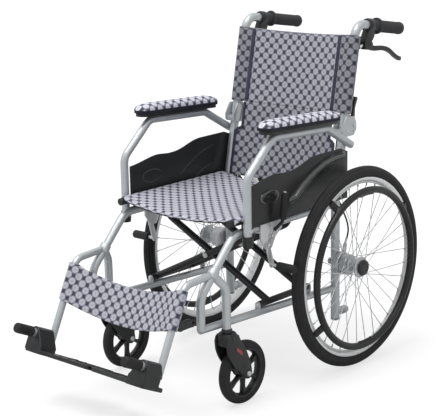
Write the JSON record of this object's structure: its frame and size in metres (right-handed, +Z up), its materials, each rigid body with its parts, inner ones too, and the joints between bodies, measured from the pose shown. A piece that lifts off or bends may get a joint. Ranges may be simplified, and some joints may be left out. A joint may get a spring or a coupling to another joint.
{
  "type": "folding wheelchair",
  "caption": "Folding manual wheelchair with spoked rear wheels, push rims, padded arms, fold-down back, attendant brakes and flip-up footplates.",
  "frame": {"origin": "on the floor, under the middle of the chair's bounding box", "axes": "+Z up, the user faces -Y, +X is the user's left"},
  "size_m": [0.617, 1.145, 0.9376],
  "materials": {
    "frame_silver": "satin silver anodised tube",
    "brake_steel": "zinc plated steel",
    "black_plastic": "moulded, fine grain",
    "black_tube": "semi-matt black enamel",
    "lever_black": "black anodised",
    "grip_rubber": "ribbed soft grip",
    "tyre_black": "matt tread",
    "upholstery": "woven navy cloth with pale round dots"
  },
  "bodies": {
    "right_frame": {"right_front_frame": "frame_silver", "right_lower_rail": "frame_silver", "right_rear_post": "frame_silver", "right_armrest_tube": "frame_silver", "right_arm_pad_base": "black_plastic", "right_arm_pad": "upholstery", "right_skirt_guard": "black_plastic", "right_legrest": "frame_silver", "right_footrest_cap": "black_plastic", "right_brake_bracket": "brake_steel", "right_hinge_bracket": "frame_silver", "right_brake_cable": "black_plastic", "right_rear_axle": "black_tube", "right_hub_brake": "brake_steel", "back_lower": "upholstery", "calf_strap": "upholstery"},
    "brace_a": {"cross_brace_a": "black_tube", "seat_sling": "upholstery"},
    "brace_b": {"cross_brace_b": "black_tube"},
    "left_frame": {"left_front_frame": "frame_silver", "left_lower_rail": "frame_silver", "left_rear_post": "frame_silver", "left_armrest_tube": "frame_silver", "left_arm_pad_base": "black_plastic", "left_arm_pad": "upholstery", "left_skirt_guard": "black_plastic", "left_legrest": "frame_silver", "left_footrest_cap": "black_plastic", "left_brake_bracket": "brake_steel", "left_hinge_bracket": "frame_silver", "left_brake_cable": "black_plastic", "left_rear_axle": "black_tube", "left_hub_brake": "brake_steel"},
    "right_back": {"right_back_cane": "frame_silver", "right_hand_grip": "grip_rubber", "right_hand_brake_clamp": "black_plastic", "back_upper": "upholstery"},
    "right_release": {"right_release_lever": "black_plastic"},
    "right_hand_lever": {"right_hand_brake_lever": "lever_black"},
    "right_park_lever": {"right_brake_lever": "black_plastic"},
    "right_park_shoe": {"right_brake_shoe": "black_tube"},
    "right_wheel": {"right_rear_tyre": "tyre_black", "right_rear_wheel": "frame_silver", "right_push_rim": "black_tube"},
    "right_swivel": {"right_caster_fork": "black_plastic"},
    "right_caster": {"right_caster_wheel": "tyre_black"},
    "right_foot": {"right_footplate": "black_plastic"},
    "left_back": {"left_back_cane": "frame_silver", "left_hand_grip": "grip_rubber", "left_hand_brake_clamp": "black_plastic"},
    "left_release": {"left_release_lever": "black_plastic"},
    "left_hand_lever": {"left_hand_brake_lever": "lever_black"},
    "left_park_lever": {"left_brake_lever": "black_plastic"},
    "left_park_shoe": {"left_brake_shoe": "black_tube"},
    "left_wheel": {"left_rear_tyre": "tyre_black", "left_rear_wheel": "frame_silver", "left_push_rim": "black_tube"},
    "left_swivel": {"left_caster_fork": "black_plastic"},
    "left_caster": {"left_caster_wheel": "tyre_black"},
    "left_foot": {"left_footplate": "black_plastic"}
  },
  "joints": [
    {"name": "fold", "type": "hinge", "parent": "right_frame", "child": "brace_a", "pos_m": [-0.195, 0.02457, 0.238], "axis": [0, -1, 0], "range_deg": [0, 44.6], "deforming": ["seat_sling", "back_upper", "back_lower", "calf_strap"]},
    {"name": "fold_cross", "type": "hinge", "parent": "brace_a", "child": "brace_b", "pos_m": [0, 0.02457, 0.336], "axis": [0, -1, 0], "range_deg": [-89.2, 0]},
    {"name": "fold_left", "type": "hinge", "parent": "brace_b", "child": "left_frame", "pos_m": [0.195, 0.02457, 0.238], "axis": [0, -1, 0], "range_deg": [0, 44.6]},
    {"name": "right_back_fold", "type": "hinge", "parent": "right_frame", "child": "right_back", "pos_m": [-0.195, 0.31338, 0.656], "axis": [-1, 0, 0], "range_deg": [0, 100], "deforming": ["right_brake_cable"]},
    {"name": "right_back_release", "type": "hinge", "parent": "right_back", "child": "right_release", "pos_m": [-0.2028, 0.31857, 0.673], "axis": [-1, 0, 0], "range_deg": [0, 14], "stiffness_Nm_per_rad": 0.2, "springref_deg": -5.73},
    {"name": "right_hand_brake", "type": "hinge", "parent": "right_back", "child": "right_hand_lever", "pos_m": [-0.192, 0.40358, 0.864], "axis": [1, 0, 0], "range_deg": [0, 20], "stiffness_Nm_per_rad": 1, "springref_deg": -5.73},
    {"name": "right_park_brake", "type": "hinge", "parent": "right_frame", "child": "right_park_lever", "pos_m": [-0.2126, -0.04442, 0.42], "axis": [1, 0, 0], "range_deg": [0, 40]},
    {"name": "right_park_shoe_turn", "type": "hinge", "parent": "right_frame", "child": "right_park_shoe", "pos_m": [-0.2126, -0.06042, 0.398], "axis": [1, 0, 0], "range_deg": [0, 12.5]},
    {"name": "right_wheel_roll", "type": "hinge", "parent": "right_frame", "child": "right_wheel", "pos_m": [-0.271, 0.25157, 0.27847], "axis": [1, 0, 0], "continuous": true},
    {"name": "right_caster_swivel", "type": "hinge", "parent": "right_frame", "child": "right_swivel", "pos_m": [-0.213, -0.22443, 0.2], "axis": [0, 0, 1], "continuous": true},
    {"name": "right_caster_roll", "type": "hinge", "parent": "right_swivel", "child": "right_caster", "pos_m": [-0.213, -0.16742, 0.08395], "axis": [1, 0, 0], "continuous": true},
    {"name": "right_foot_flip", "type": "hinge", "parent": "right_frame", "child": "right_foot", "pos_m": [-0.195, -0.44843, 0.166], "axis": [0, -0.9, 0.4358], "range_deg": [0, 95]},
    {"name": "left_back_fold", "type": "hinge", "parent": "left_frame", "child": "left_back", "pos_m": [0.195, 0.31338, 0.656], "axis": [-1, 0, 0], "range_deg": [0, 100], "deforming": ["left_brake_cable"]},
    {"name": "left_back_release", "type": "hinge", "parent": "left_back", "child": "left_release", "pos_m": [0.2028, 0.31857, 0.673], "axis": [-1, 0, 0], "range_deg": [0, 14], "stiffness_Nm_per_rad": 0.2, "springref_deg": -5.73},
    {"name": "left_hand_brake", "type": "hinge", "parent": "left_back", "child": "left_hand_lever", "pos_m": [0.192, 0.40358, 0.864], "axis": [1, 0, 0], "range_deg": [0, 20], "stiffness_Nm_per_rad": 1, "springref_deg": -5.73},
    {"name": "left_park_brake", "type": "hinge", "parent": "left_frame", "child": "left_park_lever", "pos_m": [0.2126, -0.04442, 0.42], "axis": [1, 0, 0], "range_deg": [0, 40]},
    {"name": "left_park_shoe_turn", "type": "hinge", "parent": "left_frame", "child": "left_park_shoe", "pos_m": [0.2126, -0.06042, 0.398], "axis": [1, 0, 0], "range_deg": [0, 12.5]},
    {"name": "left_wheel_roll", "type": "hinge", "parent": "left_frame", "child": "left_wheel", "pos_m": [0.271, 0.25157, 0.27847], "axis": [1, 0, 0], "continuous": true},
    {"name": "left_caster_swivel", "type": "hinge", "parent": "left_frame", "child": "left_swivel", "pos_m": [0.213, -0.22443, 0.2], "axis": [0, 0, 1], "continuous": true},
    {"name": "left_caster_roll", "type": "hinge", "parent": "left_swivel", "child": "left_caster", "pos_m": [0.213, -0.16742, 0.08395], "axis": [1, 0, 0], "continuous": true},
    {"name": "left_foot_flip", "type": "hinge", "parent": "left_frame", "child": "left_foot", "pos_m": [0.195, -0.44843, 0.166], "axis": [0, 0.9, -0.4358], "range_deg": [0, 95]}
  ],
  "couplings": [
    {"joint": "fold_cross", "follows": "fold", "ratio": -2},
    {"joint": "fold_left", "follows": "fold", "ratio": 1},
    {"joint": "left_foot_flip", "follows": "fold", "ratio": 2.13},
    {"joint": "left_back_fold", "follows": "right_back_fold", "ratio": 1},
    {"joint": "right_park_shoe_turn", "follows": "right_park_brake", "ratio": 0.3125},
    {"joint": "left_park_shoe_turn", "follows": "left_park_brake", "ratio": 0.3125}
  ]
}
